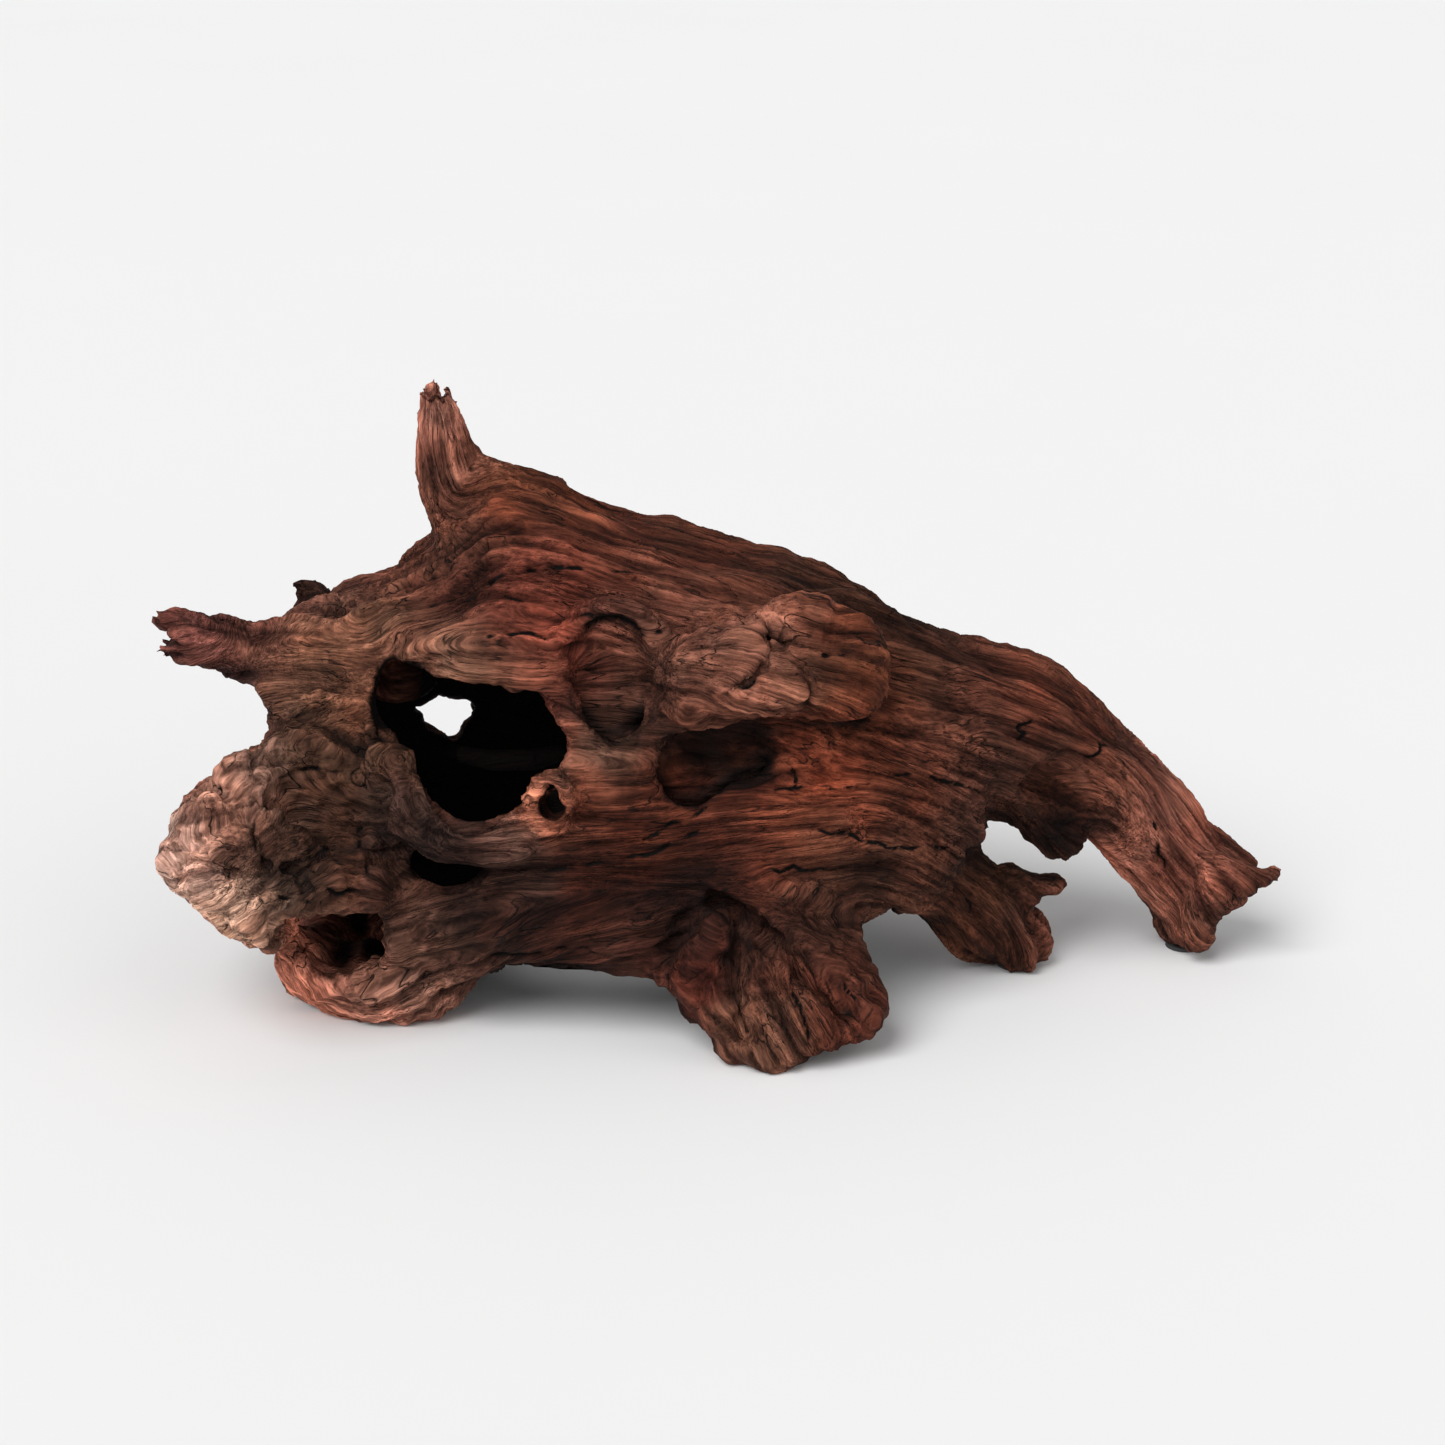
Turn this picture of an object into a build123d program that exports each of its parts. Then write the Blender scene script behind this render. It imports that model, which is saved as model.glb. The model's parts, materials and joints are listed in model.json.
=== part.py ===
"""Hollow driftwood-root cave ornament for an aquarium, cast in resin and bonded from pieces.

The trunk is a thin shell in two halves, open underneath, with a cave mouth at the front and
a small window at the back. Stubs, roots, burls and feet are separate castings that meet the
trunk face to face and are pinned to it with dowels. Units are millimetres.

Frame: +Z up, +X to the right, the cave mouth faces -Y. The origin is on the ground, under
the middle of the whole ornament.
"""
from build123d import *
import math
import os

# ---- driving dimensions ---------------------------------------------------------------------
WALL = 8.0                 # thickness of the hollow trunk shell
PARTING_Y = 16.0           # the plane where the front and rear half shells meet
PAD_THICKNESS = 1.5        # soft pads under the feet
PAD_RADIUS = 7.0
ROOT_DOWEL_RADIUS = 3.0    # dowels that hold the branches and roots
ROOT_DOWEL_LENGTH = 15.0
SEAM_DOWEL_RADIUS = 2.0    # dowels across the parting plane of the shell
SEAM_DOWEL_LENGTH = 9.0
SEAM_DOWEL_DEPTH = 5.0     # from the ridge down to a seam dowel's axis
GROUND = PAD_THICKNESS     # the castings stand on the pads

# The trunk: along X, how far it reaches to the front and to the back, the height of its hem
# at the front and at the back, and its ridge.
TRUNK_STATIONS = [
    # x, front, back, front hem, back hem, ridge
    (-164.0, 20.0, 34.0, 88.0, 88.0, 129.0),
    (-154.0, 35.0, 47.0, 54.0, 42.0, 136.0),
    (-140.0, 46.0, 58.0, 30.0, 15.0, 141.0),
    (-120.0, 54.0, 68.0, 17.0, 10.0, 148.0),
    (-100.0, 60.0, 74.0, 13.0, 9.0, 165.0),
    (-80.0, 64.0, 78.0, 12.0, 9.0, 188.0),
    (-60.0, 66.0, 79.0, 10.0, 9.0, 183.0),
    (-40.0, 66.0, 77.0, 10.0, 9.0, 174.0),
    (-20.0, 66.0, 74.0, 10.0, 9.0, 168.0),
    (0.0, 65.0, 70.0, 13.0, 11.0, 162.0),
    (20.0, 62.0, 66.0, 19.0, 15.0, 156.0),
    (40.0, 56.0, 60.0, 28.0, 24.0, 148.0),
    (60.0, 48.0, 54.0, 35.0, 33.0, 137.0),
    (78.0, 39.0, 48.0, 42.0, 42.0, 128.0),
    (93.0, 32.0, 42.0, 58.0, 58.0, 121.0),
]
# One cross-section of the trunk: depth as a share of the front or back reach, then height as
# a share of hem to ridge, from the ridge down the front, under, and up the back.
TRUNK_PROFILE = [
    (0.15, 1.00),
    (-0.34, 0.92),
    (-0.72, 0.70),
    (-0.93, 0.40),
    (-1.00, 0.14),
    (-0.70, 0.00),
    (0.00, -0.02),
    (0.88, -0.03),
    (1.00, 0.07),
    (0.96, 0.43),
    (0.80, 0.73),
    (0.52, 0.92),
]
CAVITY_ENDS = (2, 12)      # the cavity runs between these stations of the trunk

# Openings in the trunk: centre, half width, half height and an uneven outline.
MOUTH = {"x": -83.0, "z": 106.0, "half_width": 29.0, "half_height": 26.0}
LOWER_HOLE = {"x": -98.0, "z": 65.0, "half_width": 15.0, "half_height": 9.5}
FOOT_HOLE = {"x": -134.0, "z": 31.0, "half_width": 18.0, "half_height": 12.0}
WINDOW = {"x": -105.0, "z": 77.0, "half_width": 9.0, "half_height": 8.0}
MOUTH_OUTLINE = [1.00, 0.93, 0.86, 1.02, 1.08, 0.94, 1.04, 0.96, 0.84, 0.92, 0.90, 1.00]
HOLE_OUTLINE = [1.00, 0.90, 1.05, 0.92, 1.04, 0.88, 1.00, 0.95]

# Uneven limb cross-sections: the share of the half width or half height in each direction.
KNOBBLY = [1.00, 0.93, 1.05, 0.90, 1.02, 0.95, 1.06, 0.91]
BURL_OUTLINE = [0.95, 1.02, 1.06, 0.80, 1.06, 0.90, 0.94, 0.98]
SMOOTHER = [1.00, 0.96, 1.03, 0.95, 1.00, 0.97, 1.02, 0.96]


# ---- helpers --------------------------------------------------------------------------------
def outline_wire(plane, half_width, half_height, outline):
    """A closed smooth outline: an oval whose radius changes from one direction to the next."""
    count = len(outline)
    points = []
    for index, share in enumerate(outline):
        angle = math.tau * index / count
        local = Vector(half_width * share * math.cos(angle), half_height * share * math.sin(angle), 0)
        points.append(plane.from_local_coords(local))
    return Wire([Edge.make_spline(points, periodic=True)])


def limb(path, across, outline=KNOBBLY):
    """A tapering limb. The path lists (point, half width, half height); the half width lies
    along the direction across, as nearly as the limb's own direction allows."""
    points = [Vector(*stop[0]) for stop in path]
    wires = []
    for index, (point, stop) in enumerate(zip(points, path)):
        before = points[max(index - 1, 0)]
        after = points[min(index + 1, len(points) - 1)]
        along = (after - before).normalized()
        side = Vector(*across)
        side = (side - along * side.dot(along)).normalized()
        plane = Plane(origin=point, x_dir=side, z_dir=along)
        wires.append(outline_wire(plane, stop[1], stop[2], outline))
    return Solid.make_loft(wires)


def largest(shape):
    """The biggest solid of a cut, without the crumbs on its far side."""
    return max(shape.solids(), key=lambda solid: solid.volume)


def surface_point(solid, inside, outside):
    """Where the straight way from a point inside a solid to a point outside leaves it."""
    near = Vector(*inside)
    far = Vector(*outside)
    for _ in range(30):
        middle = (near + far) * 0.5
        if solid.is_inside(middle):
            near = middle
        else:
            far = middle
    return near


def dowel(centre, along, radius, length):
    """A round pin about its centre."""
    plane = Plane(origin=centre - along * (length / 2), z_dir=along)
    return Solid.make_cylinder(radius, length, plane)


def window_cutter(place, outline, y_from, y_to):
    """An uneven tunnel along Y, to cut an opening through one wall."""
    plane = Plane(origin=(place["x"], y_from, place["z"]), x_dir=(1, 0, 0), z_dir=(0, 1, 0))
    wire = outline_wire(plane, place["half_width"], place["half_height"], outline)
    return Solid.extrude(Face(wire), Vector(0, y_to - y_from, 0))


# ---- trunk ----------------------------------------------------------------------------------
def trunk_wire(x, front, back, front_hem, back_hem, ridge):
    points = []
    for depth, height in TRUNK_PROFILE:
        reach = front if depth < 0 else back
        hem = back_hem if depth > 0 else front_hem
        points.append(Vector(x, depth * reach, hem + height * (ridge - hem)))
    return Wire([Edge.make_spline(points, periodic=True)])


def trunk_outside():
    return Solid.make_loft([trunk_wire(*station) for station in TRUNK_STATIONS], ruled=True)


def trunk_cavity():
    """The hollow inside: the trunk less its wall, open at the bottom."""
    first, last = CAVITY_ENDS
    wires = []
    for x, front, back, front_hem, back_hem, ridge in TRUNK_STATIONS[first:last + 1]:
        wires.append(trunk_wire(x, front - WALL, back - WALL, front_hem - 2 * WALL,
                                back_hem - 2 * WALL, ridge - WALL))
    return Solid.make_loft(wires, ruled=True)


def half_space(side):
    """Everything in front of the parting plane, or everything behind it."""
    reach = 400.0
    centre_y = PARTING_Y + side * reach / 2
    return Solid.make_box(2 * reach, reach, 2 * reach).moved(
        Location((-reach, centre_y - reach / 2, -reach)))


# ---- stubs, roots, burls and feet -----------------------------------------------------------
def upright_branch_stub():
    return limb([((-88, 12, 146), 16, 14), ((-92, 12, 170), 12.5, 12), ((-97, 11, 193), 10, 9),
                 ((-99.5, 10, 208), 8.5, 7), ((-100.5, 10, 219), 5, 4)], across=(1, 0, 0))


def left_branch_stub():
    return limb([((-140, 4, 112), 16, 18), ((-160, 3, 118), 12, 14), ((-176, 1, 125), 10.5, 11),
                 ((-188, 0, 129), 9.5, 9.5), ((-199, -1, 130), 8, 8)], across=(0, 1, 0))


def rear_twig_stub():
    return limb([((-140, 30, 118), 8, 8), ((-150, 36, 128), 5.5, 6), ((-156, 40, 136), 3.5, 4)],
                across=(0, 1, 0))


def burl_knot():
    return limb([((-140, -14, 76), 29, 34), ((-147, -32, 71), 39, 38), ((-149, -49, 68), 43, 39),
                 ((-147, -65, 70), 35, 33), ((-144, -76, 75), 21, 20)], across=(1, 0, 0),
                outline=BURL_OUTLINE)


def brow_burl():
    return limb([((-20, -46, 126), 6, 7), ((-6, -50, 130), 13, 13), ((14, -48, 135), 18, 17),
                 ((34, -43, 133), 18, 17), ((50, -35, 126), 10, 10)], across=(0, 1, 0))


def mouth_rim_root():
    return limb([((-116, -52, 104), 9, 9), ((-111, -60, 95), 7.5, 7.5), ((-106, -64, 84), 7, 7),
                 ((-96, -66, 76), 6, 6), ((-80, -65, 74), 6.5, 5.5), ((-66, -62, 76), 6.5, 5)],
                across=(0, 1, 0), outline=SMOOTHER)


def mouth_knot():
    """The grown-over ring of a lost twig at the mouth's right edge."""
    centre = Plane(origin=(-59, -57, 89), x_dir=(1, 0, 0), z_dir=(-0.25, -0.9, 0.35))
    outer = Solid.extrude(Face(outline_wire(centre.offset(-6), 8.5, 12, SMOOTHER)), centre.z_dir * 10)
    hollow = Solid.extrude(Face(outline_wire(centre, 3.5, 6, SMOOTHER)), centre.z_dir * 10)
    return largest(outer - hollow)


def right_root():
    return limb([((84, 4, 92), 31, 31), ((100, 6, 90), 29, 29), ((121, 9, 81), 23, 24),
                 ((144, 13, 65), 17, 18), ((161, 17, 45), 15, 18), ((175, 20, 29), 15, 20.5),
                 ((186, 22, 18), 14, 23)], across=(0, 1, 0), outline=SMOOTHER)


def hanging_root():
    return limb([((116, -2, 78), 13, 15), ((120, -4, 64), 12, 12), ((124, -6, 54), 10, 10),
                 ((127, -7, 47), 7, 7)], across=(0, 1, 0))


def forked_root():
    main = limb([((64, -8, 50), 20, 19), ((82, -4, 37), 19, 16), ((96, 0, 22), 16, 15),
                 ((107, 3, 10), 12, 11), ((109, 4, 2.5), 9, 7)], across=(0, 1, 0))
    prong = limb([((92, -2, 33), 10, 10), ((108, 2, 30), 8.5, 9), ((118, 4, 31), 6, 5),
                  ((126, 5, 34), 3, 3)], across=(0, 1, 0))
    return largest(main + prong)


def front_foot_root():
    return limb([((8, -40, 62), 28, 14), ((11, -56, 44), 32, 16), ((17, -66, 26), 34, 17),
                 ((25, -72, 10), 33, 17), ((28, -74, GROUND), 30, 14)], across=(1, 0, 0))


def left_foot_root():
    return limb([((-118, -26, 62), 34, 20), ((-120, -31, 44), 37, 22), ((-121, -34, 26), 38, 21),
                 ((-119, -33, 10), 33, 18), ((-117, -31, GROUND), 24, 12)], across=(1, 0, 0))


def rear_foot_root():
    return limb([((-60, 50, 62), 26, 14), ((-62, 66, 42), 24, 15), ((-66, 78, 20), 21, 14),
                 ((-68, 84, GROUND), 18, 10)], across=(1, 0, 0))


# Each limb: its maker, a point inside the trunk and a point far out along the limb, which give
# the line of its dowel, and the neighbours that it is fitted against after the trunk.
LIMBS = {
    "burl_knot": (burl_knot, (-125, -10, 72), (-165, -60, 72), []),
    "left_foot_root": (left_foot_root, (-106, -50, 42), (-106, -34, 4), ["burl_knot"]),
    "left_branch_stub": (left_branch_stub, (-140, 4, 113), (-198, 0, 126), ["burl_knot"]),
    "rear_twig_stub": (rear_twig_stub, (-140, 30, 118), (-157, 41, 138), ["left_branch_stub"]),
    "upright_branch_stub": (upright_branch_stub, (-90, 12, 160), (-98, 11, 210), []),
    "mouth_rim_root": (mouth_rim_root, (-116, -30, 88), (-114, -70, 88), ["burl_knot", "left_foot_root"]),
    "brow_burl": (brow_burl, (10, -15, 120), (18, -70, 134), []),
    "right_root": (right_root, (70, 4, 88), (140, 12, 64), []),
    "hanging_root": (hanging_root, None, None, ["right_root"]),
    "forked_root": (forked_root, (60, -8, 60), (100, 0, 22), ["right_root"]),
    "front_foot_root": (front_foot_root, (8, -30, 62), (16, -74, 22), []),
    "rear_foot_root": (rear_foot_root, (-60, 44, 62), (-66, 84, 20), []),
}
# The hanging root is pinned to the right root, not to the trunk.
HANGING_ROOT_PIN = ((121, 6, 80), (126, -5, 50))
SEAM_DOWEL_X = [-128, -108, -60, -20, 20, 50]
# Where the pads sit under the feet.
PAD_PLACES = [(-117, -31), (23, -74), (-68, 84), (109, 4), (174, 21)]


def fit_limbs(outside):
    """Cut each limb back to the trunk and to the neighbours that it is fitted against."""
    fitted = {}
    for name, (make, _inside, _outside, neighbours) in LIMBS.items():
        piece = largest(make() - outside)
        for neighbour in neighbours:
            piece = largest(piece - fitted[neighbour])
        fitted[name] = piece
    return fitted


def ground_cut(piece):
    """Flatten a foot where it stands on its pad."""
    below = Solid.make_box(600, 600, 50).moved(Location((-300, -300, GROUND - 50)))
    return largest(piece - below)


def limb_dowels(outside, fitted):
    """One dowel through each limb's joint, half in the limb and half in what carries it."""
    dowels = {}
    for name, (_make, inside, far, _neighbours) in LIMBS.items():
        carrier = outside
        if inside is None:
            inside, far = HANGING_ROOT_PIN
            carrier = fitted["right_root"]
        along = (Vector(*far) - Vector(*inside)).normalized()
        exit_point = surface_point(carrier, inside, far)
        grip = ROOT_DOWEL_LENGTH / 2 - WALL + 2
        dowels[name] = dowel(exit_point + along * grip, along, ROOT_DOWEL_RADIUS, ROOT_DOWEL_LENGTH)
    return dowels


def seam_dowels(outside):
    """Dowels along Y in the thickness of the ridge, across the parting plane."""
    pins = []
    for x in SEAM_DOWEL_X:
        top = surface_point(outside, (x, PARTING_Y, 100), (x, PARTING_Y, 260))
        centre = Vector(x, PARTING_Y, top.Z - SEAM_DOWEL_DEPTH)
        pins.append(dowel(centre, Vector(0, 1, 0), SEAM_DOWEL_RADIUS, SEAM_DOWEL_LENGTH))
    return pins


def foot_pads():
    return [Solid.make_cylinder(PAD_RADIUS, PAD_THICKNESS, Plane(origin=(x, y, 0)))
            for x, y in PAD_PLACES]


def over_the_origin(nodes):
    """Move everything along the ground so that the middle of the whole box is on the Z axis."""
    boxes = [shape.bounding_box() for shape in nodes.values()]
    middle_x = (min(box.min.X for box in boxes) + max(box.max.X for box in boxes)) / 2
    middle_y = (min(box.min.Y for box in boxes) + max(box.max.Y for box in boxes)) / 2
    print(f"moved by {-middle_x:.3f}, {-middle_y:.3f}")
    return {name: shape.moved(Location((-middle_x, -middle_y, 0))) for name, shape in nodes.items()}


def build():
    outside = trunk_outside()
    shell = outside - trunk_cavity()
    shell = shell - window_cutter(MOUTH, MOUTH_OUTLINE, -120, 0)
    shell = shell - window_cutter(LOWER_HOLE, HOLE_OUTLINE, -120, 0)
    shell = shell - window_cutter(WINDOW, HOLE_OUTLINE, 20, 140)
    foot_hole = window_cutter(FOOT_HOLE, HOLE_OUTLINE, -120, 0)
    shell = shell - foot_hole
    nodes = fit_limbs(outside)
    for name in ("right_root", "forked_root", "front_foot_root", "left_foot_root", "rear_foot_root"):
        nodes[name] = ground_cut(nodes[name])
    for name in ("left_foot_root", "burl_knot"):
        nodes[name] = largest(nodes[name] - foot_hole)
    nodes["mouth_knot"] = largest(mouth_knot() - nodes["mouth_rim_root"])
    shell = shell - nodes["mouth_knot"]
    nodes["front_shell"] = largest(shell & half_space(-1))
    nodes["rear_shell"] = largest(shell & half_space(1))

    pins = limb_dowels(outside, nodes)
    for name, pin in pins.items():
        for mate in list(nodes):
            if mate == name or mate.endswith("_shell") or (name, mate) == ("hanging_root", "right_root"):
                nodes[mate] = largest(nodes[mate] - pin)
    seam = seam_dowels(outside)
    for pin in seam:
        for mate in ("front_shell", "rear_shell"):
            nodes[mate] = largest(nodes[mate] - pin)
    nodes["root_dowels"] = Compound(list(pins.values()))
    nodes["seam_dowels"] = Compound(seam)
    nodes["foot_pads"] = Compound(foot_pads())
    return over_the_origin(nodes)


os.makedirs("parts", exist_ok=True)
for node_name, shape in build().items():
    export_step(shape, f"parts/{node_name}.step")
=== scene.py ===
import json
import math
from functools import partial
import bpy
import numpy as np
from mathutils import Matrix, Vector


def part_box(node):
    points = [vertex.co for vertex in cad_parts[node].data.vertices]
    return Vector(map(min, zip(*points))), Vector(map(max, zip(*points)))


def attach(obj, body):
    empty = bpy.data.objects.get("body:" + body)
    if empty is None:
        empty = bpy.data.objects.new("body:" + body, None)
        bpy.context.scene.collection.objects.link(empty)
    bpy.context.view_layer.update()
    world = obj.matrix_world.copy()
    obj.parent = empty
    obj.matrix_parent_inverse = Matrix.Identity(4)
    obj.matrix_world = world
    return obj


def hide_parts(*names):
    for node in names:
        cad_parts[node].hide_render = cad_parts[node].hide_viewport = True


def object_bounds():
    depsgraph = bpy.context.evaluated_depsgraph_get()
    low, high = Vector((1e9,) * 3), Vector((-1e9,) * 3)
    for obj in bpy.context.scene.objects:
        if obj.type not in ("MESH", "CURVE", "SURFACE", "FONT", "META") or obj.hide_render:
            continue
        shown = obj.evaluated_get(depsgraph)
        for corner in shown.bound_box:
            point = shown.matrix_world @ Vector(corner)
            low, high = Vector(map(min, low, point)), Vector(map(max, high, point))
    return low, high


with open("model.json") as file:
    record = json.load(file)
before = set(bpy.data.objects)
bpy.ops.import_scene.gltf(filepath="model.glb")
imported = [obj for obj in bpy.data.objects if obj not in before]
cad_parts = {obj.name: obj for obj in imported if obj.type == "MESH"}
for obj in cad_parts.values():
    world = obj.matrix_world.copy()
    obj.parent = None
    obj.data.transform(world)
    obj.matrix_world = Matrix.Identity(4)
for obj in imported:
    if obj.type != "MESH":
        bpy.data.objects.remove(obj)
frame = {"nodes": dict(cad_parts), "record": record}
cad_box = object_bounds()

import openvdb
from mathutils import Vector

# The cast pieces are carved from one shared distance field, so that grain, bark and colour run
# on from piece to piece as they do on the painted ornament. Lengths here are millimetres; a
# field is negative inside the resin.
VOXEL = 1.25
MARGIN = 14.0
BAND_VOXELS = 12
BLEND = 9.0                # how softly limbs run into the trunk
OVERLAP = 1.5              # how far neighbouring pieces reach into each other, out of sight
SINK = 0.35                # slope at which a piece dives under its neighbour beyond their joint
DOWEL_COVER = 3.4          # resin over a dowel that lies close under the surface
SOLE_HEIGHT = 0.3          # how far the soles stay above the floor; they hide the pads
CRACK_DEPTH = 1.5
CRACK_REACH = 0.8          # how far a crack's edge slopes in
STRAY = 35.0               # a point this far from its line's other points fell through an opening
PATCH = 16.0               # how far the edges between the painted tones wander

SLOTS = {row["node"]: row["material_slot"] for row in frame["record"]["subparts"]}
CASTINGS = [name for name in sorted(SLOTS) if SLOTS[name].endswith("_resin")]
DOWELS = ["root_dowels", "seam_dowels"]
FINE_PIECES = {"upright_branch_stub", "left_branch_stub", "rear_twig_stub", "mouth_knot",
               "mouth_rim_root"}


# ---- places, all read from the frame ----
def millimetres(corners):
    return [np.array(corner) * 1000.0 for corner in corners]


BOX = {name: millimetres(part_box(name)) for name in SLOTS}
OPENING = {o["name"]: np.array(o["box_m"]) * 1000.0 for o in frame["record"]["physics"]["openings"]}
LOW, HIGH = millimetres(cad_box)


def spot(name, across, deep, up):
    """A point in a node's box, by its share of the width, depth and height."""
    low, high = BOX[name]
    return low + (high - low) * np.array((across, deep, up))


# Each of these gives a point in one piece's box, by its shares.
trunk = partial(spot, "front_shell")
rear = partial(spot, "rear_shell")
burl = partial(spot, "burl_knot")
brow = partial(spot, "brow_burl")
rim = partial(spot, "mouth_rim_root")
stub = partial(spot, "upright_branch_stub")
left_stub = partial(spot, "left_branch_stub")
twig = partial(spot, "rear_twig_stub")
leg = partial(spot, "right_root")
hanging = partial(spot, "hanging_root")
fork = partial(spot, "forked_root")
foot = partial(spot, "front_foot_root")
left_foot = partial(spot, "left_foot_root")
rear_foot = partial(spot, "rear_foot_root")


# ---- the grid ----
ORIGIN = LOW - MARGIN
SHAPE = tuple(int(n) for n in np.ceil((HIGH - LOW + 2 * MARGIN) / VOXEL))
BAND = BAND_VOXELS * VOXEL


def triangles_of(obj, skip_plane=None):
    mesh = obj.data
    mesh.calc_loop_triangles()
    points = np.empty(len(mesh.vertices) * 3, np.float32)
    mesh.vertices.foreach_get("co", points)
    points = points.reshape(-1, 3) * 1000.0
    faces = np.empty(len(mesh.loop_triangles) * 3, np.int32)
    mesh.loop_triangles.foreach_get("vertices", faces)
    faces = faces.reshape(-1, 3)
    if skip_plane is not None:
        on_plane = np.abs(points[:, 1] - skip_plane) < 0.02
        faces = faces[~on_plane[faces].all(1)]
    return points, faces


def level_set(points, faces):
    grid = openvdb.FloatGrid.createLevelSetFromPolygons(
        np.ascontiguousarray((points - ORIGIN) / VOXEL, np.float32),
        triangles=np.ascontiguousarray(faces, np.uint32),
        transform=openvdb.createLinearTransform(voxelSize=1.0), halfWidth=BAND_VOXELS)
    values = np.empty(SHAPE, np.float32)
    grid.copyToArray(values)
    return values * VOXEL


def node_field(name):
    return level_set(*triangles_of(frame["nodes"][name]))


def trunk_field():
    """Front and rear shell as one body, without the faces of the parting plane between them."""
    parting = BOX["front_shell"][1][1]
    points_a, faces_a = triangles_of(frame["nodes"]["front_shell"], parting)
    points_b, faces_b = triangles_of(frame["nodes"]["rear_shell"], parting)
    return level_set(np.vstack((points_a, points_b)), np.vstack((faces_a, faces_b + len(points_a))))


def smooth_min(a, b, soft):
    mix = np.clip(0.5 + 0.5 * (b - a) / soft, 0, 1)
    return b + (a - b) * mix - soft * mix * (1 - mix)


def smooth_max(a, b, soft):
    return -smooth_min(-a, -b, soft)


def window_of(low, high):
    """The slice of the grid round a box, and the places of its voxels."""
    first = np.clip(np.floor((low - ORIGIN) / VOXEL).astype(int), 0, np.array(SHAPE) - 1)
    last = np.clip(np.ceil((high - ORIGIN) / VOXEL).astype(int) + 1, 1, SHAPE)
    cut = tuple(slice(a, b) for a, b in zip(first, last))
    axes = [ORIGIN[i] + np.arange(first[i], last[i]) * VOXEL for i in range(3)]
    return cut, np.stack(np.meshgrid(*axes, indexing="ij"), -1).astype(np.float32)


def ellipsoid(places, centre, radii):
    offset = (places - centre) / radii
    near = np.sqrt((offset ** 2).sum(-1)) + 1e-6
    steep = np.sqrt(((offset / radii) ** 2).sum(-1)) + 1e-6
    return near * (near - 1) / steep


def chain(places, points, radii):
    """Distance to a bent, tapering rod through the points."""
    best = None
    for a, b, ra, rb in zip(points[:-1], points[1:], radii[:-1], radii[1:]):
        axis = b - a
        share = np.clip(((places - a) @ axis) / (axis @ axis), 0, 1)
        gap = np.sqrt(((places - a - share[..., None] * axis) ** 2).sum(-1)) - (ra + (rb - ra) * share)
        best = gap if best is None else np.minimum(best, gap)
    return best


def lump(centre, radii, soft):
    """The slice of the grid round a lump, and the distance to it there."""
    radii = np.array(radii, float)
    cut, places = window_of(centre - radii - 2 * soft, centre + radii + 2 * soft)
    return cut, ellipsoid(places, centre, radii)


def rod(points, radii, soft):
    """The slice of the grid round a bent rod, and the distance to it there."""
    points = np.array(points, float)
    reach = max(radii) + 2 * soft
    cut, places = window_of(points.min(0) - reach, points.max(0) + reach)
    return cut, chain(places, points, radii)


def add_lump(field, centre, radii, soft=5.0):
    cut, gap = lump(centre, radii, soft)
    field[cut] = smooth_min(field[cut], gap, soft)


def carve_lump(field, centre, radii, soft=4.0):
    cut, gap = lump(centre, radii, soft)
    field[cut] = smooth_max(field[cut], -gap, soft)


def sink_hollow(field, centre, radii, inward=1, soft=3.0):
    """Carve a hollow, after thickening the wall behind it so that it stays closed."""
    wide, deep, tall = radii
    behind = centre + (0, inward * (0.5 * deep + 9), 0)
    add_lump(field, behind, (wide + 7, 0.5 * deep + 7, tall + 7), 4)
    carve_lump(field, centre, radii, soft)


def add_chain(field, points, radii, soft=4.0):
    cut, gap = rod(points, radii, soft)
    field[cut] = smooth_min(field[cut], gap, soft)


def carve_chain(field, points, radii, soft=2.0):
    cut, gap = rod(points, radii, soft)
    field[cut] = smooth_max(field[cut], -gap, soft)


# ---- noise ----
rng = np.random.default_rng(7)
PERMUTATION = rng.permutation(256).astype(np.int64)
GRADIENTS = rng.normal(size=(256, 3)).astype(np.float32)
GRADIENTS /= np.linalg.norm(GRADIENTS, axis=1, keepdims=True)


def noise(places):
    """Gradient noise, about -0.5 to 0.5, one cell per unit."""
    cell = np.floor(places).astype(np.int64)
    part = (places - cell).astype(np.float32)
    ease = part * part * part * (part * (part * 6 - 15) + 10)
    total = np.zeros(len(places), np.float32)
    for corner in range(8):
        step = np.array(((corner >> 2) & 1, (corner >> 1) & 1, corner & 1))
        at = cell + step
        index = PERMUTATION[(PERMUTATION[(PERMUTATION[at[:, 0] & 255] + at[:, 1]) & 255] + at[:, 2]) & 255]
        weight = np.prod(np.where(step, ease, 1 - ease), axis=1)
        total += weight * (GRADIENTS[index] * (part - step)).sum(1)
    return total


def wandering(places, *shifts):
    """Three noises side by side, one for each axis."""
    return np.stack([noise(places + shift) for shift in shifts], 1)


def layered(places, layers):
    total = 0.0
    for octave in range(layers):
        total = total + noise(places * 2 ** octave + 17.3 * octave) / 2 ** octave
    return total


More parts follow.
